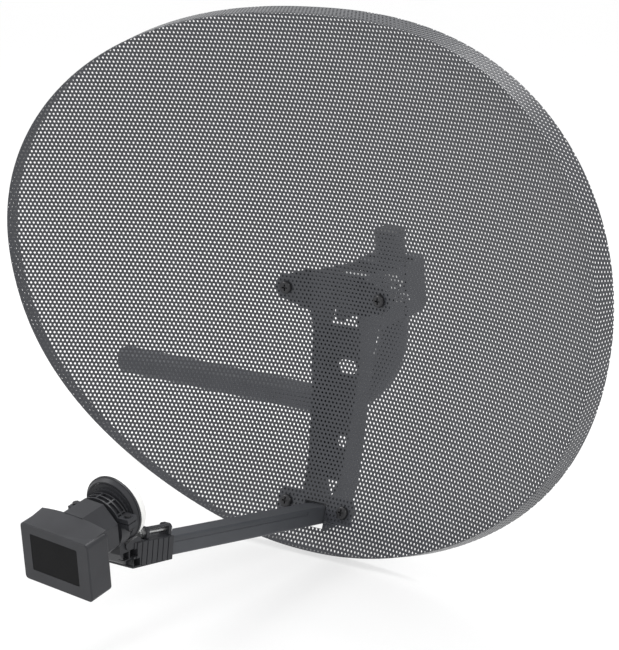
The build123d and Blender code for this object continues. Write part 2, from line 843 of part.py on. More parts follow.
def make_arm_lock_screw():
    """Screw along the arm between the two lugs; it locks the holder on the arm."""
    with BuildPart() as piece:
        with BuildSketch(arm.offset(lock_start)):
            with Locations((lock_x, lock_height)):
                Circle(2.5)
        extrude(amount=lock_end - lock_start + 5)
        with BuildSketch(arm.offset(lock_start)):
            with Locations((lock_x, lock_height)):
                Circle(4.0)
        extrude(amount=-3.0)
    return piece


def make_arm_lock_nut():
    with BuildPart() as piece:
        with BuildSketch(arm.offset(lock_end)):
            with Locations((lock_x, lock_height)):
                RegularPolygon(4.0, 6, major_radius=False)
                Circle(2.5, mode=Mode.SUBTRACT)
        extrude(amount=4)
    return piece


# ---- LNB ----
body_mid = -body_drop
body_top = body_mid + body_h / 2
body_low = body_mid - body_h / 2
cover_t = 2.5
shell_t = 2.4
label_w, label_h = 49.6, 33.2
label_x, label_y = 0.9, body_mid + 1.9
body_front = body_back + body_d
bay_top = -19.0


def make_top_section(along, rise, side_rise, half):
    """Section of the housing's crowned top, at a distance along the LNB."""
    with BuildSketch(lnb.offset(along)) as section:
        with BuildLine():
            ThreePointArc((half, body_top + side_rise), (0, body_top + rise), (-half, body_top + side_rise))
            Polyline(
                (-half, body_top + side_rise), (-half, body_top - 9),
                (half, body_top - 9), (half, body_top + side_rise),
            )
        make_face()
    return section.sketch


def octagon_points(radius):
    """Corners of the eight-sided neck root, from its flat-to-flat half width."""
    reach = radius / cos(radians(22.5))
    turns = [radians(22.5 + 45 * i) for i in range(8)]
    return [(reach * cos(t), reach * sin(t) - neck_drop) for t in turns]


def make_lnb_housing():
    """Plastic body: box with an open connector bay below, crowned top and eight-sided neck."""
    low_section = make_top_section(body_back + cover_t, -0.1, -1.2, 33.5)
    high_section = make_top_section(body_front, 4.7, 1.4, 34.3)
    with BuildPart() as piece:
        with BuildSketch(lnb.offset(body_back + cover_t)):
            with Locations((0, body_mid)):
                RectangleRounded(body_w, body_h, 4)
        extrude(amount=body_d - cover_t)
        fillet(piece.faces().sort_by_distance(lnb.from_local_coords((0, body_mid, body_front)))[0].edges(), 2.5)
        # the top rises from the back cover to the neck
        loft([low_section.face(), high_section.face()], ruled=True)
        # neck: eight-sided at the back, round where the clamp holds it
        with BuildSketch(lnb.offset(body_front - 0.6)):
            with BuildLine():
                Polyline(*octagon_points(octagon_r), close=True)
            make_face()
        extrude(amount=strap_back - 3.5 - body_front + 0.6)
        with BuildSketch(lnb.offset(strap_back - 4)):
            with Locations((0, -neck_drop)):
                Circle(neck_r)
        extrude(amount=-strap_back + 4 - 6.5)
        # toothed skew scale in front of the clamp
        with BuildSketch(lnb.offset(strap_front + 1.3)):
            with Locations((0, -1.6)):
                Circle(22.4)
                with PolarLocations(22.8, 36):
                    Circle(0.9, mode=Mode.SUBTRACT)
        extrude(amount=3.5)
        # flange that closes the collar's opening behind the horn
        with BuildSketch(lnb.offset(-6.3)):
            Circle(24.2)
        extrude(amount=1.6)
        # inside: electronics space, neck bore and the open connector bay
        with BuildSketch(lnb.offset(body_back + cover_t)):
            with Locations((0, (body_top - shell_t + bay_top) / 2)):
                Rectangle(body_w - 2 * shell_t, body_top - shell_t - bay_top)
        extrude(amount=body_d - cover_t - shell_t, mode=Mode.SUBTRACT)
        with BuildSketch(lnb.offset(body_front - 9)):
            Circle(13.0)
        extrude(amount=80, mode=Mode.SUBTRACT)
        with BuildSketch(lnb.offset(-8.1)):
            Circle(14.7)
        extrude(amount=20, mode=Mode.SUBTRACT)
        with BuildSketch(lnb.offset(body_back + cover_t + 1.6)):
            with Locations((0, (bay_top - 2 + body_low - 10) / 2)):
                Rectangle(body_w - 2 * shell_t - 2, bay_top - 2 - body_low + 10)
        extrude(amount=body_d - cover_t - shell_t - 1.6, mode=Mode.SUBTRACT)
        # connector holes in the bay's ceiling
        for x in connector_xs:
            with BuildSketch(below(lnb, x, 0, connector_z)):
                Circle(6.7)
            extrude(amount=30, mode=Mode.SUBTRACT)
    return piece


connector_xs = [-24.0, -8.0, 8.0, 24.0]
connector_z = body_back + cover_t + 11.0
probe_places = [(0, -46.0), (90, -38.0)]


def make_lnb_back_cover():
    with BuildPart() as piece:
        with BuildSketch(lnb.offset(body_back)):
            with Locations((0, body_mid)):
                RectangleRounded(body_w, body_h, 4)
        extrude(amount=cover_t)
        outer = piece.faces().sort_by_distance(lnb.from_local_coords((0, body_mid, body_back)))[0]
        chamfer(outer.edges(), 1.1)
        # recess for the label
        with BuildSketch(lnb.offset(body_back)):
            with Locations((label_x, label_y)):
                RectangleRounded(label_w + 0.6, label_h + 0.6, 1)
        extrude(amount=0.4, mode=Mode.SUBTRACT)
    return piece


def make_lnb_label():
    with BuildPart() as piece:
        with BuildSketch(lnb.offset(body_back + 0.1)):
            with Locations((label_x, label_y)):
                RectangleRounded(label_w, label_h, 0.8)
        extrude(amount=0.3)
    return piece


chassis_back = body_back + cover_t + 2.2
chassis_top = body_top - shell_t - 0.5
chassis_low = bay_top + 0.5


def make_lnb_chassis():
    """Die-cast box with the round waveguide in one piece."""
    mid = (chassis_top + chassis_low) / 2
    high = chassis_top - chassis_low
    front = body_front - shell_t - 1.4
    with BuildPart() as piece:
        with BuildSketch(lnb.offset(chassis_back)):
            with Locations((0, mid)):
                RectangleRounded(64, high, 2)
        extrude(amount=front - chassis_back)
        with BuildSketch(lnb.offset(front - 2)):
            Circle(12.5)
        extrude(amount=-front + 2 - 5)
        with BuildSketch(lnb.offset(chassis_back)):
            with Locations((0, mid)):
                Rectangle(60, high - 4)
        extrude(amount=front - chassis_back - 2.5, mode=Mode.SUBTRACT)
        with BuildSketch(lnb.offset(front - 2.0)):
            Circle(9.5)
        extrude(amount=90, mode=Mode.SUBTRACT)
        for x in connector_xs:
            with BuildSketch(below(lnb, x, mid, connector_z)):
                Circle(4.4)
            extrude(amount=40, mode=Mode.SUBTRACT)
        for turn, along in probe_places:
            with BuildSketch(probe_plane(turn, along).offset(0.6)):
                Circle(1.85)
            extrude(amount=-2.2, mode=Mode.SUBTRACT)
    return piece


def probe_plane(turn, along):
    """Plane on the waveguide's wall, facing its middle."""
    angle = radians(turn)
    spot = lnb.from_local_coords((9.5 * cos(angle), 9.5 * sin(angle), along))
    middle = lnb.from_local_coords((0, 0, along))
    return Plane(origin=spot, z_dir=middle - spot)


def make_circuit_board():
    mid = (chassis_top + chassis_low) / 2
    high = chassis_top - chassis_low
    with BuildPart() as piece:
        with BuildSketch(lnb.offset(chassis_back + 11.0)):
            with Locations((0, mid)):
                RectangleRounded(59, high - 5, 1)
        extrude(amount=1.6)
        with BuildSketch(lnb.offset(chassis_back + 11.0)):
            with Locations((-18, mid + 4), (16, mid - 3), (2, mid + 5), (-6, mid - 6)):
                Rectangle(6, 5)
        extrude(amount=-1.4)
    return piece


def make_board_shield():
    mid = (chassis_top + chassis_low) / 2
    high = chassis_top - chassis_low
    with BuildPart() as piece:
        with BuildSketch(lnb.offset(chassis_back)):
            with Locations((0, mid)):
                RectangleRounded(64, high, 2)
        extrude(amount=-1.0)
        with BuildSketch(lnb.offset(chassis_back)):
            with Locations((0, mid)):
                Rectangle(59.4, high - 4.6)
                Rectangle(57.4, high - 6.6, mode=Mode.SUBTRACT)
        extrude(amount=2.5)
    return piece


def make_probes():
    """The two crossed pick-up pins that stand in the waveguide, each in an insulating bush."""
    with BuildPart() as piece:
        for turn, along in probe_places:
            seat = probe_plane(turn, along)
            with BuildSketch(seat):
                Circle(0.6)
            extrude(amount=6.5)
            with BuildSketch(seat):
                Circle(1.8)
            extrude(amount=-1.5)
    return piece


def make_feed_horn():
    """Corrugated horn: a sleeve over the waveguide's mouth, a disc and three rings."""
    with BuildPart() as piece:
        with BuildSketch(lnb.offset(-8)):
            Circle(14.4)
            Circle(12.7, mode=Mode.SUBTRACT)
        extrude(amount=4)
        with BuildSketch(lnb.offset(-4.4)):
            Circle(24.3)
            Circle(9.5, mode=Mode.SUBTRACT)
        extrude(amount=1.8)
        for inner, outer in ((11.5, 12.9), (16.6, 17.8), (22.0, 23.1)):
            with BuildSketch(lnb.offset(-4.4)):
                Circle(outer)
                Circle(inner, mode=Mode.SUBTRACT)
            extrude(amount=8.6)
    return piece


def make_feed_collar():
    """Plastic collar: a thin disc with a stepped back, round the mouth of the horn."""
    with BuildPart() as piece:
        with BuildSketch(lnb.offset(-2.2)):
            Circle(collar_r)
        extrude(amount=2.2)
        with BuildSketch(lnb.offset(-2.2)):
            Circle(collar_r - 0.8)
        extrude(amount=-3.4, taper=32)
        with BuildSketch(lnb.offset(-6.4)):
            Circle(24.6)
        extrude(amount=10, mode=Mode.SUBTRACT)
    return piece


def make_feed_cap():
    """White cap over the horn."""
    depth = 8.3
    with BuildPart() as piece:
        with BuildSketch(lnb):
            Circle(collar_r - 0.7)
        extrude(amount=depth)
        crown = piece.faces().sort_by_distance(lnb.from_local_coords((0, 0, depth)))[0]
        fillet(crown.edges(), 3.2)
        with BuildSketch(lnb):
            Circle(collar_r - 3.6)
        extrude(amount=depth - 1.4, mode=Mode.SUBTRACT)
    return piece


def make_cap_seal():
    with BuildPart() as piece:
        with BuildSketch(lnb.offset(-1.6)):
            Circle(24.5)
            Circle(23.3, mode=Mode.SUBTRACT)
        extrude(amount=1.6)
    return piece


def make_connectors():
    """Four threaded F sockets that hang in the connector bay."""
    with BuildPart() as piece:
        for x in connector_xs:
            top = below(lnb, x, chassis_low + 1.5, connector_z)
            with BuildSketch(top):
                Circle(4.3)
            extrude(amount=4)
            with BuildSketch(top.offset(2.2)):
                RegularPolygon(5.5, 6, major_radius=False)
            extrude(amount=2.6)
            with BuildSketch(top.offset(4.8)):
                Circle(4.75)
            extrude(amount=9.5)
            for i in range(6):
                with BuildSketch(top.offset(6.2 + i * 1.25)):
                    Circle(4.8)
                    Circle(4.35, mode=Mode.SUBTRACT)
                extrude(amount=0.5, mode=Mode.SUBTRACT)
            with BuildSketch(top.offset(7)):
                Circle(3.6)
            extrude(amount=12, mode=Mode.SUBTRACT)
    return piece


def make_connector_cores():
    with BuildPart() as piece:
        for x in connector_xs:
            top = below(lnb, x, chassis_low + 1.5, connector_z)
            with BuildSketch(top.offset(7)):
                Circle(3.6)
            extrude(amount=5.8)
            with BuildSketch(top.offset(12.8)):
                Circle(0.8)
            extrude(amount=-3, mode=Mode.SUBTRACT)
    return piece


def make_cover_screws():
    """Screws that hold the board shield to the die-cast box."""
    mid = (chassis_top + chassis_low) / 2
    with BuildPart() as piece:
        with BuildSketch(lnb.offset(chassis_back - 1.0)):
            with Locations((0, mid)):
                with GridLocations(61.5, chassis_top - chassis_low - 2.4, 2, 2):
                    Circle(1.0)
        extrude(amount=-1.0)
    return piece


pivot = (pivot_y, pivot_z)
washer_t = 1.6
cheek_face = cheek_half + 0.05
pieces = {
    "mast_tube": make_mast_tube(),
    "mast_cap": make_mast_cap(),
    "clamp_bracket": make_clamp_bracket(),
    "clamp_jaw": make_clamp_jaw(),
    "clamp_bolts": make_clamp_bolts(),
    "clamp_washers": make_clamp_washers(),
    "clamp_nuts": make_clamp_nuts(),
    "pivot_bolt": make_cross_bolt(pivot, m8_r, 13.0, 5.3, cheek_face + washer_t),
    "pivot_washers": make_cross_washers(pivot, m8_r, 8.0, cheek_face, washer_t),
    "pivot_nut": make_cross_nut(pivot, m8_r, 13.0, 6.5, cheek_face + washer_t),
    "elevation_bolt": make_cross_bolt(slot_point(), m6_r, 10.0, 4.0, cheek_face + washer_t),
    "elevation_washers": make_cross_washers(slot_point(), m6_r, 6.0, cheek_face, washer_t),
    "elevation_nut": make_cross_nut(slot_point(), m6_r, 10.0, 5.0, cheek_face + washer_t),
    "reflector": make_reflector(),
    "back_bracket": make_back_bracket(),
    "reflector_screws": make_reflector_screws(),
    "reflector_washers": make_reflector_washers(),
    "reflector_nuts": make_reflector_nuts(),
    "lnb_arm": make_lnb_arm(),
    "arm_bolts": make_arm_bolts(),
    "arm_nuts": make_arm_nuts(),
    "holder_base": make_holder_base(),
    "holder_strap": make_holder_strap(),
    "strap_screws": make_strap_screws(),
    "strap_nuts": make_strap_nuts(),
    "arm_lock_screw": make_arm_lock_screw(),
    "arm_lock_nut": make_arm_lock_nut(),
    "lnb_housing": make_lnb_housing(),
    "lnb_back_cover": make_lnb_back_cover(),
    "lnb_label": make_lnb_label(),
    "lnb_chassis": make_lnb_chassis(),
    "circuit_board": make_circuit_board(),
    "board_shield": make_board_shield(),
    "shield_screws": make_cover_screws(),
    "waveguide_probes": make_probes(),
    "feed_horn": make_feed_horn(),
    "feed_collar": make_feed_collar(),
    "feed_cap": make_feed_cap(),
    "cap_seal": make_cap_seal(),
    "connectors": make_connectors(),
    "connector_cores": make_connector_cores(),
}

for label, piece in pieces.items():
    piece.part.label = label
    export_step(piece.part, f"parts/{label}.step")
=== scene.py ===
import math

import bpy
import numpy as np
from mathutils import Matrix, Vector


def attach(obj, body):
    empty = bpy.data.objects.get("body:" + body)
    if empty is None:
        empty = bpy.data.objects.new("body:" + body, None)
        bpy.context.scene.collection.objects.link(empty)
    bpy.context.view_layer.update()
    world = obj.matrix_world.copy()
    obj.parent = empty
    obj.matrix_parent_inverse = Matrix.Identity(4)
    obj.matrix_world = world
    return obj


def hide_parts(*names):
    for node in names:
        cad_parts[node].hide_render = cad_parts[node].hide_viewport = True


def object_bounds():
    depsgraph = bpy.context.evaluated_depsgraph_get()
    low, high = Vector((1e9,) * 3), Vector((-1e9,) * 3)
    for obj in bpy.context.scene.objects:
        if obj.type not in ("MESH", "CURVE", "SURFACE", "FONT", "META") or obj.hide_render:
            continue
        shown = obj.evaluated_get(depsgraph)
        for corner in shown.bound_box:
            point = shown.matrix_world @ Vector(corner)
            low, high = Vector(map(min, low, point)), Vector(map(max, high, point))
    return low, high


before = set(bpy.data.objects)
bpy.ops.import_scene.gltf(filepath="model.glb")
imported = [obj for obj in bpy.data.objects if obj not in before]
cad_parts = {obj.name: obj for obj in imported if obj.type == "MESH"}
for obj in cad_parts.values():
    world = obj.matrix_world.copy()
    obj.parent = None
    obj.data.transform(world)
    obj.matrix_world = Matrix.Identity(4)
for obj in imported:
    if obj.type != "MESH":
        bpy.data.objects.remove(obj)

cad_low, cad_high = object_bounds()
mm = 0.001

# ---------------------------------------------------------------- places, in millimetres
# The tube runs from its open end to its corner, and the bowl's lowest point is counted from there.
MAST_LEAN, RUN_TURN, RUN_LENGTH = math.radians(5.68), math.radians(2.48), 375.0
MAST_BACK = np.array([0.0, math.cos(MAST_LEAN), math.sin(MAST_LEAN)])
RUN = np.array([1.0, 0.0, 0.0]) * math.cos(RUN_TURN) - MAST_BACK * math.sin(RUN_TURN)
DISH = RUN * RUN_LENGTH - np.array([0.0, 112.0, -135.7])


def row(x, y, z):
    """Row-frame point in metres, from millimetres counted from the bowl's lowest point."""
    return Vector((DISH + np.array([x, y, z])) * mm)


# ---------------------------------------------------------------- materials
def new_material(name):
    material = bpy.data.materials.new(name)
    material.use_nodes = True
    nodes = material.node_tree.nodes
    return material, nodes, material.node_tree.links, nodes["Principled BSDF"]


def noise(nodes, links, scale, detail=4.0, rough=0.55):
    where = nodes.new("ShaderNodeTexCoord")
    texture = nodes.new("ShaderNodeTexNoise")
    texture.inputs["Scale"].default_value = scale
    texture.inputs["Detail"].default_value = detail
    texture.inputs["Roughness"].default_value = rough
    links.new(where.outputs["Object"], texture.inputs["Vector"])
    return texture


def ramp(nodes, links, source, stops):
    node = nodes.new("ShaderNodeValToRGB")
    while len(node.color_ramp.elements) < len(stops):
        node.color_ramp.elements.new(0.5)
    for element, (at, value) in zip(node.color_ramp.elements, stops):
        element.position = at
        element.color = (*value, 1.0) if isinstance(value, tuple) else (value, value, value, 1.0)
    links.new(source, node.inputs["Fac"])
    return node


def surface(name, dark, light, rough, grain, bump, metallic=0.0, patch=35.0, shine=0.5):
    """Colour that drifts in patches, with fine grain in the bump and in the roughness."""
    material, nodes, links, shader = new_material(name)
    patches = noise(nodes, links, patch, 5.0, 0.6)
    colours = ramp(nodes, links, patches.outputs["Fac"], [(0.3, dark), (0.7, light)])
    links.new(colours.outputs["Color"], shader.inputs["Base Color"])
    grains = noise(nodes, links, grain, 3.0, 0.5)
    gloss = ramp(nodes, links, grains.outputs["Fac"], [(0.25, rough[0]), (0.75, rough[1])])
    links.new(gloss.outputs["Color"], shader.inputs["Roughness"])
    height = nodes.new("ShaderNodeBump")
    height.inputs["Strength"].default_value = bump
    height.inputs["Distance"].default_value = 0.0002
    links.new(grains.outputs["Fac"], height.inputs["Height"])
    links.new(height.outputs["Normal"], shader.inputs["Normal"])
    shader.inputs["Metallic"].default_value = metallic
    shader.inputs["Specular IOR Level"].default_value = shine
    return material


powder = surface(
    "powder_coat", (0.05, 0.053, 0.06), (0.06, 0.063, 0.071), (0.4, 0.52), 1800.0, 0.25, shine=0.22,
)
mesh_coat = surface(
    "mesh_coat", (0.04, 0.042, 0.048), (0.048, 0.05, 0.057), (0.22, 0.32), 1500.0, 0.15, shine=0.34,
)
plastic = surface(
    "moulded_plastic", (0.024, 0.0245, 0.0275), (0.031, 0.032, 0.036), (0.38, 0.48), 2600.0, 0.35, shine=0.24,
)
arm_coat = surface(
    "arm_coat", (0.055, 0.058, 0.065), (0.064, 0.068, 0.076), (0.38, 0.5), 1800.0, 0.2, shine=0.22,
)
zinc = surface(
    "zinc_plate", (0.42, 0.42, 0.41), (0.62, 0.63, 0.64), (0.28, 0.45), 900.0, 0.2, 1.0, 160.0,
)
black_screw = surface(
    "black_screw", (0.02, 0.02, 0.022), (0.034, 0.034, 0.037), (0.25, 0.4), 1500.0, 0.2, 0.3, shine=0.4,
)
film = surface(
    "label_film", (0.003, 0.003, 0.0035), (0.005, 0.005, 0.0055), (0.5, 0.6), 700.0, 0.05, shine=0.1,
)
cap_white = surface(
    "cap_plastic", (0.78, 0.78, 0.76), (0.86, 0.86, 0.85), (0.35, 0.45), 1800.0, 0.1,
)
cap_black = surface(
    "end_cap", (0.015, 0.015, 0.016), (0.025, 0.025, 0.026), (0.5, 0.65), 2000.0, 0.3,
)
cast = surface(
    "die_cast", (0.45, 0.45, 0.46), (0.58, 0.58, 0.59), (0.35, 0.55), 1500.0, 0.4, 1.0, 90.0,
)
tin = surface(
    "tinned_sheet", (0.5, 0.5, 0.49), (0.63, 0.63, 0.61), (0.22, 0.36), 500.0, 0.1, 1.0, 120.0,
)
board = surface(
    "solder_mask", (0.012, 0.08, 0.028), (0.02, 0.12, 0.04), (0.25, 0.4), 1200.0, 0.1, 0.0, 300.0,
)
nickel = surface(
    "nickel", (0.55, 0.52, 0.47), (0.68, 0.65, 0.6), (0.15, 0.28), 1500.0, 0.1, 1.0, 200.0,
)
brass = surface(
    "turned_brass", (0.5, 0.34, 0.12), (0.66, 0.47, 0.18), (0.2, 0.35), 1500.0, 0.1, 1.0, 200.0,
)
insulator = surface("insulator", (0.7, 0.7, 0.67), (0.8, 0.8, 0.77), (0.4, 0.5), 1500.0, 0.1)
rubber = surface("seal_rubber", (0.012, 0.012, 0.012), (0.02, 0.02, 0.02), (0.6, 0.75), 1500.0, 0.3)

node_materials = {
    "mast_tube": powder, "mast_cap": cap_black, "clamp_bracket": powder, "clamp_jaw": powder,
    "clamp_bolts": zinc, "clamp_washers": zinc, "clamp_nuts": zinc,
    "pivot_bolt": zinc, "pivot_washers": zinc, "pivot_nut": zinc,
    "elevation_bolt": zinc, "elevation_washers": zinc, "elevation_nut": zinc,
    "reflector": mesh_coat, "back_bracket": powder, "reflector_screws": black_screw,
    "reflector_washers": zinc, "reflector_nuts": zinc, "lnb_arm": arm_coat,
    "arm_bolts": zinc, "arm_nuts": zinc, "holder_base": plastic, "holder_strap": plastic,
    "strap_screws": black_screw, "strap_nuts": black_screw, "arm_lock_screw": zinc, "arm_lock_nut": zinc,
    "lnb_housing": plastic, "lnb_back_cover": plastic, "lnb_label": film, "lnb_chassis": cast,
    "circuit_board": board, "board_shield": tin, "shield_screws": zinc, "waveguide_probes": brass,
    "feed_horn": cast, "feed_collar": plastic, "feed_cap": cap_white, "cap_seal": rubber,
    "connectors": nickel, "connector_cores": insulator,
}
for name, material in node_materials.items():
    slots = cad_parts[name].material_slots
    for each in slots:
        each.material = material

# ---------------------------------------------------------------- reflector
HALF_WIDTH, HALF_HEIGHT, ROUNDNESS = 325.0, 254.0, 2.12
LIFT, SHOULDER = 0.112, 0.032
DEPTH_X, DEPTH_Z, DEPTH_SLOPE, DEPTH_FLATTEN = 94.0, 49.3, -0.071, -0.084
FLANGE_DEPTH, FLANGE_FLARE = 20.3, 4.7
SHEET = 0.7
PITCH = 4.421
HOLE = 0.515 * PITCH
BEND = 1.3  # radius of the rounded rim
FLANGE = 0.3 + math.hypot(FLANGE_DEPTH, FLANGE_FLARE)
STRETCH_U, STRETCH_V = 0.042, 0.007  # how far the pressed bowl draws the hole pattern in
RIM_REACH = 8.0  # the rim's shape is worked out this far inside the outline
RIM_CHORD = 2.0  # the bowl's slope at the rim is taken over this length


def bowl_y(x, z):
    a = (x / HALF_WIDTH) ** 2
    b = (z / HALF_HEIGHT) ** 2
    return -(DEPTH_X * a + DEPTH_Z * b) * (1 + DEPTH_SLOPE * z / HALF_HEIGHT + DEPTH_FLATTEN * (a + b - 1))


def outline(t):
    c, s = np.cos(t), np.sin(t)
    r = (np.abs(c / HALF_WIDTH) ** ROUNDNESS + np.abs(s / HALF_HEIGHT) ** ROUNDNESS) ** (-1 / ROUNDNESS)
    r = r * (1 + LIFT * s + SHOULDER * np.sin(3 * t))
    return r * c, r * s


def outline_frame(t):
    """Rim point and outward normal, seen from the front."""
    step = 1e-4
    x, z = outline(t)
    x1, z1 = outline(t - step)
    x2, z2 = outline(t + step)
    tx, tz = (x2 - x1), (z2 - z1)
    span = np.hypot(tx, tz)
    return x, z, tz / span, -tx / span, span / (2 * step)


def edge_distance(x, z):
    """(signed distance outside the rim, rim parameter of the nearest point)."""
    t = np.arctan2(z, x)
    for _ in range(6):
        ox, oz, nx, nz, speed = outline_frame(t)
        along = (x - ox) * -nz + (z - oz) * nx
        t = t + np.clip(along / speed, -0.1, 0.1)
    ox, oz, nx, nz, speed = outline_frame(t)
    return (x - ox) * nx + (z - oz) * nz, t


def formed(x, z):
    """Front skin of the pressed sheet: the bowl, the rounded rim and the turned-back flange."""
    x = np.asarray(x, float)
    z = np.asarray(z, float)
    points = np.stack([x, bowl_y(x, z), z], axis=-1)
    radial = np.hypot(x, z)
    ox, oz = outline(np.arctan2(z, x))
    near = radial > np.hypot(ox, oz) - RIM_REACH
    if not near.any():
        return points
    d, t = edge_distance(x[near], z[near])
    rx, rz, nx, nz, _ = outline_frame(t)
    # profile across the rim in (outward, back): into the bowl on one side, down the flange on the other
    slope = (bowl_y(rx, rz) - bowl_y(rx - RIM_CHORD * nx, rz - RIM_CHORD * nz)) / RIM_CHORD
    in_out, in_back = -1 / np.hypot(1, slope), -slope / np.hypot(1, slope)
    lean = math.hypot(FLANGE_DEPTH, FLANGE_FLARE)
    out_out, out_back = FLANGE_FLARE / lean, FLANGE_DEPTH / lean
    turn = math.pi - np.arccos(np.clip(in_out * out_out + in_back * out_back, -1, 1))
    tangent = BEND * np.tan(turn / 2)
    bow = np.hypot(in_out + out_out, in_back + out_back)
    reach = BEND / np.cos(turn / 2)
    centre_out = (in_out + out_out) / bow * reach
    centre_back = (in_back + out_back) / bow * reach
    # on the flange
    out = d * out_out
    back = d * out_back
    # on the rounded bend
    part = np.clip((d + tangent) / (2 * tangent), 0, 1)
    start_out = in_out * tangent - centre_out
    start_back = in_back * tangent - centre_back
    end_out = out_out * tangent - centre_out
    end_back = out_back * tangent - centre_back
    sign = np.sign(start_out * end_back - start_back * end_out)
    angle = sign * turn * part
    bend_out = centre_out + start_out * np.cos(angle) - start_back * np.sin(angle)
    bend_back = centre_back + start_out * np.sin(angle) + start_back * np.cos(angle)
    rounded = np.abs(d) < tangent
    out = np.where(rounded, bend_out, out)
    back = np.where(rounded, bend_back, back)
    shaped = np.stack([rx + out * nx, bowl_y(rx, rz) + back, rz + out * nz], axis=-1)
    flat = points[near]
    points[near] = np.where((d > -tangent)[:, None], shaped, flat)
    return points


def plan(u, v):
    """Where a place on the flat punched sheet lands when seen from the front."""
    q = (u / HALF_WIDTH) ** 2 + (v / HALF_HEIGHT) ** 2
    return u * (1 - STRETCH_U * q), v * (1 - STRETCH_V * q)


def sheet_skins(u, v):
    """Front and back points of the sheet for places on the flat blank."""
    step = 0.04
    x, z = plan(u, v)
    front = formed(x, z)
    xa, za = plan(u + step, v)
    xb, zb = plan(u - step, v)
    xc, zc = plan(u, v + step)
    xd, zd = plan(u, v - step)
    across = formed(xa, za) - formed(xb, zb)
    upward = formed(xc, zc) - formed(xd, zd)
    normal = np.cross(upward, across)
    normal /= np.maximum(np.linalg.norm(normal, axis=1), 1e-9)[:, None]
    return front, front + normal * SHEET


def flange_limit(u, v):
    """Distance past the flange's back edge; positive is cut off."""
    x, z = plan(u, v)
    d, _ = edge_distance(x, z)
    return d - FLANGE


SLOT_HALF, SLOT_LOW, SLOT_HIGH = 12.7, -211.4, -188.6
PATTERN_U, PATTERN_V = -6.07, 4.459  # where the hole pattern sits on the blank, in pitches
REACH_U, REACH_V = 84, 74  # cells laid out each way before the blank's outline is applied
BLANK_U, BLANK_V = 372.0, 318.0
EDGE_BAND, BEND_BAND, SLOT_BAND = 3.4, 5.2, 3.0  # how near an edge, a bend or the slot a cell counts
SECTORS = 9
BEND_RINGS = 4
ON_EDGE = 0.08
WELDS_PER_MM = 500
corner_turns = [math.radians(30 + 60 * i) for i in range(6)]
CORNERS = [(PITCH / math.sqrt(3) * math.cos(t), PITCH / math.sqrt(3) * math.sin(t)) for t in corner_turns]
HOLE_SIDES = 12
hole_turns = [math.radians(30 + 360 / HOLE_SIDES * i) for i in range(HOLE_SIDES)]
RING = [(HOLE / 2 * math.cos(t), HOLE / 2 * math.sin(t)) for t in hole_turns]


def cut(polygon, keep):
    """The part of a small convex polygon where keep(point) is not positive."""
    values = [keep(p) for p in polygon]
    kept = []
    for i, (p, a) in enumerate(zip(polygon, values)):
        q, b = polygon[(i + 1) % len(polygon)], values[(i + 1) % len(polygon)]
        if a <= 0:
            kept.append(p)
        if (a <= 0) != (b <= 0):
            k = a / (a - b)
            kept.append((p[0] + (q[0] - p[0]) * k, p[1] + (q[1] - p[1]) * k))
    return kept if len(kept) > 2 else []


def cell_tiles(rings):
    """Small convex tiles of one hexagonal cell round its hole, as offsets from its centre."""
    tiles = []
    outer = []
    for i in range(HOLE_SIDES):
        a = CORNERS[(i // 2) % 6]
        b = CORNERS[(i // 2 + 1) % 6]
        outer.append(a if i % 2 == 0 else ((a[0] + b[0]) / 2, (a[1] + b[1]) / 2))
    for k in range(rings):
        lo, hi = k / rings, (k + 1) / rings
        for i in range(HOLE_SIDES):
            j = (i + 1) % HOLE_SIDES
            tile = []
            for index, part in ((i, lo), (j, lo), (j, hi), (i, hi)):
                tile.append((RING[index][0] * (1 - part) + outer[index][0] * part,
                             RING[index][1] * (1 - part) + outer[index][1] * part))
            tiles.append(tile)
    return tiles


def sides_of(loop):
    return list(zip(loop, loop[1:] + loop[:1]))


def plain_cell(centre_u, centre_v):
    """Six tiles round the hole of a cell on the open bowl."""
    tiles = []
    for i in range(6):
        j = 2 * i
        tile = [RING[j], RING[j + 1], RING[(j + 2) % HOLE_SIDES], CORNERS[(i + 1) % 6], CORNERS[i]]
        tiles.append([(centre_u + p, centre_v + q) for p, q in tile])
    return tiles


def past_edge(p):
    return float(flange_limit(np.array([p[0]]), np.array([p[1]]))[0])


def edge_cell(tiles, rims):
    """Tiles and walls of a cell cut off at the flange's back edge."""
    kept, walls = [], []
    for tile in tiles:
        values = [past_edge(p) for p in tile]
        if max(values) <= 0:
            kept.append(tile)
        elif min(values) <= 0:
            piece = cut(tile, past_edge)
            if piece:
                kept.append(piece)
                for p, q in sides_of(piece):
                    if abs(past_edge(p)) < ON_EDGE and abs(past_edge(q)) < ON_EDGE:
                        walls.append((q, p))
    walls += [(p, q) for p, q in rims if past_edge(p) <= 0 and past_edge(q) <= 0]
    return kept, walls


SLOT_SIDES = [
    [lambda p: p[0] + SLOT_HALF],
    [lambda p: SLOT_HALF - p[0]],
    [lambda p: -SLOT_HALF - p[0], lambda p: p[0] - SLOT_HALF, lambda p: SLOT_HIGH - p[1]],
    [lambda p: -SLOT_HALF - p[0], lambda p: p[0] - SLOT_HALF, lambda p: p[1] - SLOT_LOW],
]


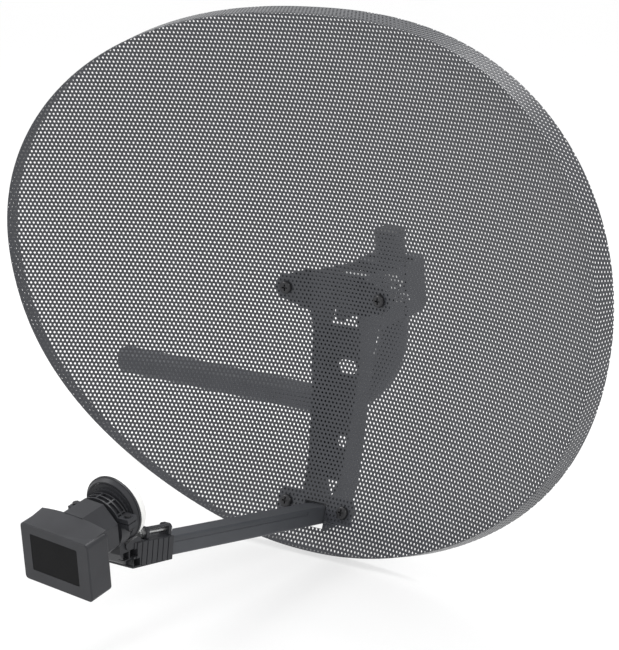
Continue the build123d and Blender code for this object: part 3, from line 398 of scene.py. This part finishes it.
def slot_cell(tiles, rims):
    """Tiles and walls of a cell cut by the arm's opening, which is square as seen from the front."""
    kept, walls = [], []
    for tile in tiles:
        seen = [tuple(float(c) for c in plan(np.array(p[0]), np.array(p[1]))) for p in tile]
        shift_u, shift_v = tile[0][0] - seen[0][0], tile[0][1] - seen[0][1]
        for tests in SLOT_SIDES:
            piece = seen
            for test in tests:
                piece = cut(piece, test) if piece else piece
            if piece:
                kept.append([(p[0] + shift_u, p[1] + shift_v) for p in piece])
    for p, q in rims:
        x, z = plan(np.array(p[0]), np.array(p[1]))
        if abs(x) > SLOT_HALF or z > SLOT_HIGH or z < SLOT_LOW:
            walls.append((p, q))
    return kept, walls


def build_reflector():
    """The perforated sheet in sectors, each one mesh: front skin, back skin, hole walls, edges."""
    a, b = np.meshgrid(np.arange(-REACH_U - REACH_V, REACH_U + REACH_V), np.arange(-REACH_V, REACH_V))
    u = ((a + b / 2).ravel() + PATTERN_U) * PITCH
    v = (b.ravel() * math.sqrt(3) / 2 + PATTERN_V) * PITCH
    keep = (np.abs(u) < BLANK_U) & (np.abs(v) < BLANK_V)
    u, v = u[keep], v[keep]
    x, z = plan(u, v)
    d, _ = edge_distance(x, z)
    inside = d < FLANGE + PITCH
    u, v, x, z, d = u[inside], v[inside], x[inside], z[inside], d[inside]
    slotted = (np.abs(x) < SLOT_HALF + SLOT_BAND) & (z > SLOT_LOW - SLOT_BAND) & (z < SLOT_HIGH + SLOT_BAND)
    at_edge = (d > FLANGE - EDGE_BAND) & ~slotted
    bent = np.abs(d) < BEND_BAND
    turn = (np.arctan2(z, x) + math.pi) / (2 * math.pi) * SECTORS
    sector = np.minimum(turn.astype(int), SECTORS - 1)
    coarse, fine = cell_tiles(1), cell_tiles(BEND_RINGS)
    for which in range(SECTORS):
        all_tiles, all_walls = [], []
        for i in np.flatnonzero(sector == which):
            rims = sides_of([(u[i] + p, v[i] + q) for p, q in RING])
            if not (slotted[i] or at_edge[i] or bent[i]):
                tiles, walls = plain_cell(u[i], v[i]), rims
            else:
                tiles = [[(u[i] + p, v[i] + q) for p, q in tile] for tile in (fine if bent[i] else coarse)]
                walls = rims
                if slotted[i]:
                    tiles, walls = slot_cell(tiles, rims)
                elif at_edge[i]:
                    tiles, walls = edge_cell(tiles, rims)
            all_tiles += tiles
            all_walls += walls
        tiles_to_mesh(f"reflector_sheet_{which + 1}", all_tiles, all_walls)


def tiles_to_mesh(name, tiles, walls):
    """One sector's mesh from flat tiles and wall edges, as a piece that rides on the dish."""
    counts = np.array([len(t) for t in tiles])
    flat = np.array([p for t in tiles for p in t])
    keys = np.round(flat * WELDS_PER_MM).astype(np.int64)
    _, first, index = np.unique(keys, axis=0, return_index=True, return_inverse=True)
    index = index.ravel()
    places = flat[first]
    front, back = sheet_skins(places[:, 0], places[:, 1])
    count = len(places)
    wall_points = np.array([p for w in walls for p in w])
    wall_keys = np.round(wall_points * WELDS_PER_MM).astype(np.int64)
    _, wall_first, wall_index = np.unique(wall_keys, axis=0, return_index=True, return_inverse=True)
    wall_index = wall_index.ravel().reshape(-1, 2)
    wall_places = wall_points[wall_first]
    wall_front, wall_back = sheet_skins(wall_places[:, 0], wall_places[:, 1])
    verts = np.concatenate([front, back, wall_front, wall_back])
    starts = np.concatenate([[0], np.cumsum(counts)[:-1]])
    # the back skin's faces run the other way round
    reversed_index = np.concatenate([index[s:s + n][::-1] for s, n in zip(starts, counts)])
    base = 2 * count
    span = len(wall_places)
    p, q = wall_index[:, 0], wall_index[:, 1]
    quads = np.stack([base + p, base + span + p, base + span + q, base + q], axis=1).ravel()
    loops = np.concatenate([reversed_index, index + count, quads])
    totals = np.concatenate([counts, counts, np.full(len(walls), 4)])
    begin = np.concatenate([[0], np.cumsum(totals)[:-1]])
    mesh = bpy.data.meshes.new(name)
    mesh.vertices.add(len(verts))
    mesh.vertices.foreach_set("co", ((verts + DISH) * mm).astype(np.float32).ravel())
    mesh.loops.add(len(loops))
    mesh.loops.foreach_set("vertex_index", loops.astype(np.int32))
    mesh.polygons.add(len(totals))
    mesh.polygons.foreach_set("loop_start", begin.astype(np.int32))
    mesh.polygons.foreach_set("loop_total", totals.astype(np.int32))
    mesh.update(calc_edges=True)
    mesh.validate()
    layer = mesh.uv_layers.new(name="OFBake")
    all_uv = np.concatenate([places, places, wall_places, wall_places])
    shift = np.concatenate([np.zeros(count), np.ones(count), np.zeros(2 * span)])
    low, high = flat.min(axis=0), flat.max(axis=0)
    unit = (all_uv - low) / (high - low)
    unit[:, 0] = unit[:, 0] * 0.49 + shift * 0.505
    owner = np.empty(len(mesh.loops), dtype=np.int32)
    mesh.loops.foreach_get("vertex_index", owner)
    layer.data.foreach_set("uv", unit[owner].astype(np.float32).ravel())
    mesh.polygons.foreach_set("use_smooth", np.ones(len(mesh.polygons), dtype=bool))
    mesh.materials.append(mesh_coat)
    obj = bpy.data.objects.new(name, mesh)
    bpy.context.scene.collection.objects.link(obj)
    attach(obj, "dish")
    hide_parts("reflector")


build_reflector()

# ---------------------------------------------------------------- soft edges on pressed and moulded nodes
for name, width in {
    "back_bracket": 0.35, "clamp_bracket": 0.35, "clamp_jaw": 0.35, "lnb_housing": 0.5,
    "holder_base": 0.35, "holder_strap": 0.25, "lnb_back_cover": 0.35,
}.items():
    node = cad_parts[name]
    bevel = node.modifiers.new("soft_edge", "BEVEL")
    bevel.width = width * mm
    bevel.segments = 2
    bevel.limit_method = "ANGLE"
    bevel.angle_limit = math.radians(40)
    bevel.harden_normals = False

# ---------------------------------------------------------------- floor, light, camera
floor_z = cad_low[2] - 0.001
bpy.ops.mesh.primitive_plane_add(size=40.0, location=(0.35, -0.3, floor_z))
floor = bpy.context.object
floor.name = "floor"
pale, _, _, pale_shader = new_material("pale_floor")
pale_shader.inputs["Base Color"].default_value = (0.3, 0.3, 0.3, 1)
pale_shader.inputs["Roughness"].default_value = 0.9
pale_shader.inputs["Emission Color"].default_value = (1, 1, 1, 1)
pale_shader.inputs["Emission Strength"].default_value = 0.64
floor.data.materials.append(pale)

world = bpy.data.worlds.new("studio")
bpy.context.scene.world = world
world.use_nodes = True
world.node_tree.nodes["Background"].inputs["Color"].default_value = (1.0, 1.0, 1.0, 1)
world.node_tree.nodes["Background"].inputs["Strength"].default_value = 1.0


def area_light(name, place, target, size, power):
    data = bpy.data.lights.new(name, "AREA")
    data.shape = "RECTANGLE"
    data.size, data.size_y = size
    data.energy = power
    light = bpy.data.objects.new(name, data)
    bpy.context.scene.collection.objects.link(light)
    light.location = place
    aim = Vector(target) - Vector(place)
    light.rotation_euler = aim.to_track_quat("-Z", "Y").to_euler()
    return light


middle = (0.35, -0.15, 0.13)
area_light("key", (-1.7, -1.3, 2.2), middle, (1.0, 1.0), 34.0)
area_light("side", (2.4, -1.0, 1.9), middle, (0.6, 0.6), 14.0)
area_light("top", (0.5, 0.7, 2.4), middle, (1.2, 0.8), 34.0)

# The camera stands to the dish's right and a little above it, counted from the bowl's lowest point.
AZIMUTH, ELEVATION, DISTANCE = math.radians(35.476), math.radians(12.31), 1914.47
SENSOR_WIDTH, LENS = 36.0, 117.9322779
SHIFT_RIGHT, SHIFT_UP = -0.0396042003, -0.0360016155  # in frame widths
offset = np.array([
    math.sin(AZIMUTH) * math.cos(ELEVATION),
    -math.cos(AZIMUTH) * math.cos(ELEVATION),
    math.sin(ELEVATION),
]) * DISTANCE
camera_data = bpy.data.cameras.new("camera")
camera = bpy.data.objects.new("camera", camera_data)
bpy.context.scene.collection.objects.link(camera)
camera.location = row(*offset)
camera.rotation_euler = (row(0, 0, 0) - camera.location).to_track_quat("-Z", "Y").to_euler()
camera_data.sensor_fit = "HORIZONTAL"
camera_data.sensor_width = SENSOR_WIDTH
camera_data.lens = LENS
camera_data.shift_x = SHIFT_RIGHT
camera_data.shift_y = SHIFT_UP
camera_data.clip_end = 50.0
bpy.context.scene.camera = camera
bpy.context.scene.view_settings.view_transform = "Standard"
